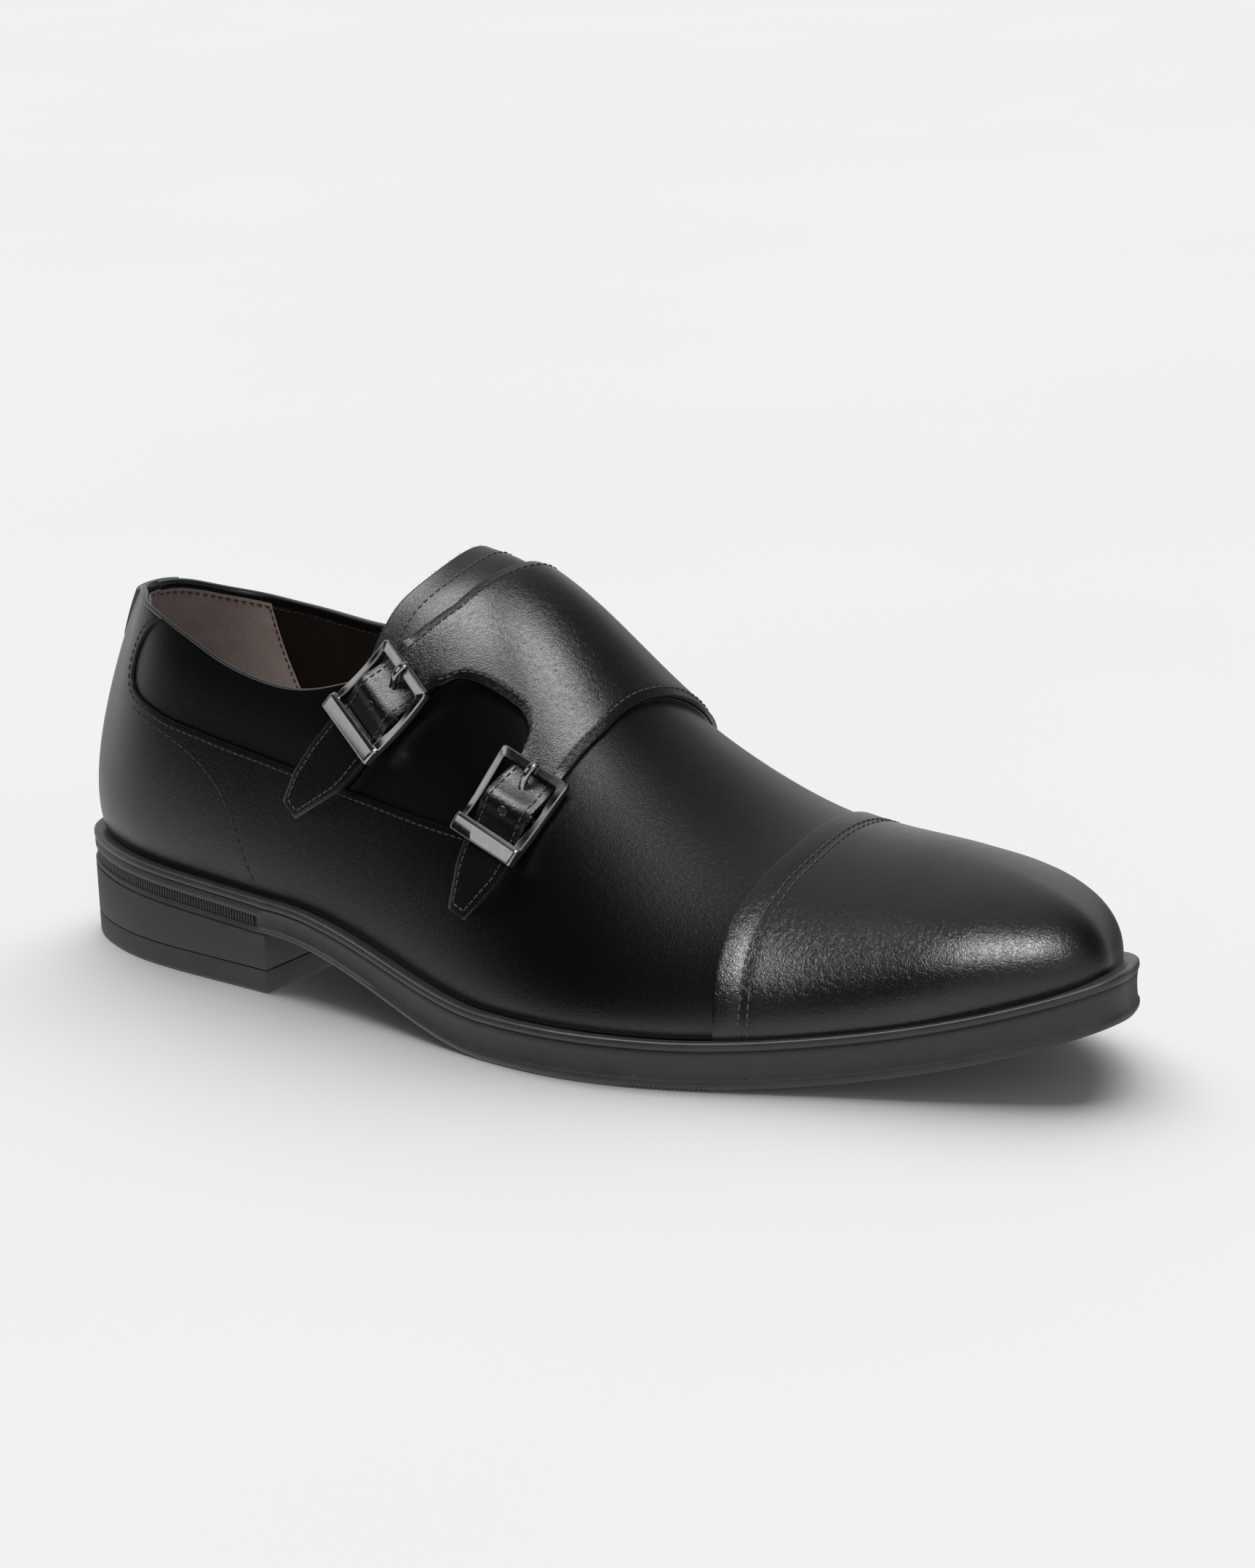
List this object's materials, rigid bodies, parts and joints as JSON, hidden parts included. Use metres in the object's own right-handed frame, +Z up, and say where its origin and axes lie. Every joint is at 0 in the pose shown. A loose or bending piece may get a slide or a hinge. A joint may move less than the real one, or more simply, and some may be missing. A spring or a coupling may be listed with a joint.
{
  "type": "double monk strap shoe",
  "caption": "Men's low leather dress shoe for the right foot, with a straight toe cap and a wide instep flap that ends in buckled straps on the outer side.",
  "frame": {"origin": "centre of the shoe's footprint box, on the floor", "axes": "+X towards the toe, +Z up, so that -Y is the outer (buckled) side of this right shoe"},
  "size_m": [0.305, 0.1026, 0.112],
  "materials": {
    "outsole": "matt",
    "welt": "satin",
    "insole": "suede",
    "heel_block": "matt",
    "heel_top_piece": "matt",
    "upper": "fine grain, waxed",
    "toe_cap": "fine grain, waxed",
    "monk_flap": "fine grain, waxed",
    "rear_buckle": "dark nickel",
    "rear_prong": "dark nickel",
    "front_buckle": "dark nickel",
    "front_prong": "dark nickel"
  },
  "bodies": {
    "root": {"outsole": "outsole", "welt": "welt", "insole": "insole", "heel_block": "heel_block", "heel_top_piece": "heel_top_piece", "upper": "upper", "toe_cap": "toe_cap", "monk_flap": "monk_flap", "rear_buckle": "rear_buckle", "rear_prong": "rear_prong", "front_buckle": "front_buckle", "front_prong": "front_prong"}
  },
  "joints": []
}
